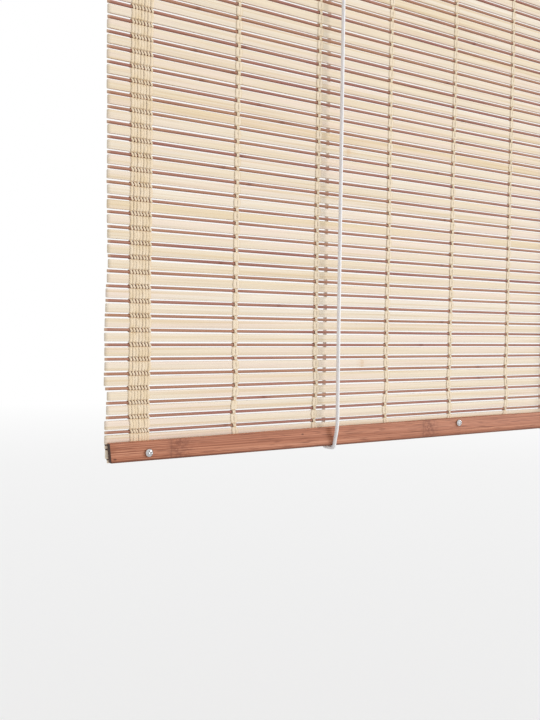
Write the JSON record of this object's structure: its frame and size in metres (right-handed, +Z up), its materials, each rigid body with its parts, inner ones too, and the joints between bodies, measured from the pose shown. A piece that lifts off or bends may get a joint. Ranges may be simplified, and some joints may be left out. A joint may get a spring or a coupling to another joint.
{
  "type": "bamboo blind",
  "caption": "Let-down roll-up bamboo blind: pale slats and thin brown reeds woven with cream yarn, brown head and bottom rails, lift cords over pulleys, and plates to hang it by.",
  "frame": {"origin": "midway between the two hanging holes, in the plane of the wall behind the hanging plates", "axes": "+X to the right as seen from the room, +Y into the wall, +Z up"},
  "size_m": [0.6, 0.0325, 0.8121],
  "materials": {
    "pale_bamboo": "bare split bamboo",
    "brown_reed": "stained split reed",
    "cream_yarn": "twisted cotton",
    "brown_bamboo": "carbonised bamboo, satin",
    "white_cord": "braided cord",
    "white_plastic": "moulded",
    "bright_steel": "plated",
    "plain_steel": "zinc plated"
  },
  "bodies": {
    "blind": {"bottom_rail_back": "brown_bamboo", "bottom_rail_front": "brown_bamboo", "bottom_rail_screws": "bright_steel", "edge_band_left_back": "cream_yarn", "edge_band_left_front": "cream_yarn", "edge_band_right_back": "cream_yarn", "edge_band_right_front": "cream_yarn", "hanger_left": "plain_steel", "hanger_right": "plain_steel", "hanger_screws": "plain_steel", "head_rail_back": "brown_bamboo", "head_rail_front": "brown_bamboo", "head_rail_screws": "bright_steel", "left_pulley_pin": "plain_steel", "left_pulley_strap": "plain_steel", "lift_cord_left": "white_cord", "lift_cord_right": "white_cord", "pulley_screws": "plain_steel", "reed_mat": "brown_reed", "right_pulley_pin": "plain_steel", "right_pulley_strap": "plain_steel", "slat_mat": "pale_bamboo", "warp_back_1": "cream_yarn", "warp_back_2": "cream_yarn", "warp_back_3": "cream_yarn", "warp_back_5": "cream_yarn", "warp_back_6": "cream_yarn", "warp_back_7": "cream_yarn", "warp_front_1": "cream_yarn", "warp_front_2": "cream_yarn", "warp_front_3": "cream_yarn", "warp_front_5": "cream_yarn", "warp_front_6": "cream_yarn", "warp_front_7": "cream_yarn"},
    "left_pulley_wheel_body": {"left_pulley_wheel": "white_plastic"},
    "right_pulley_rear_wheel_body": {"right_pulley_rear_wheel": "white_plastic"},
    "right_pulley_front_wheel_body": {"right_pulley_front_wheel": "white_plastic"}
  },
  "joints": [
    {"name": "left_pulley_wheel_spin", "type": "hinge", "parent": "blind", "child": "left_pulley_wheel_body", "pos_m": [-0.118, -0.0197, -0.024], "axis": [0, 1, 0], "continuous": true},
    {"name": "right_pulley_rear_wheel_spin", "type": "hinge", "parent": "blind", "child": "right_pulley_rear_wheel_body", "pos_m": [0.128, -0.0197, -0.024], "axis": [0, 1, 0], "continuous": true},
    {"name": "right_pulley_front_wheel_spin", "type": "hinge", "parent": "blind", "child": "right_pulley_front_wheel_body", "pos_m": [0.128, -0.0262, -0.024], "axis": [0, 1, 0], "continuous": true}
  ]
}
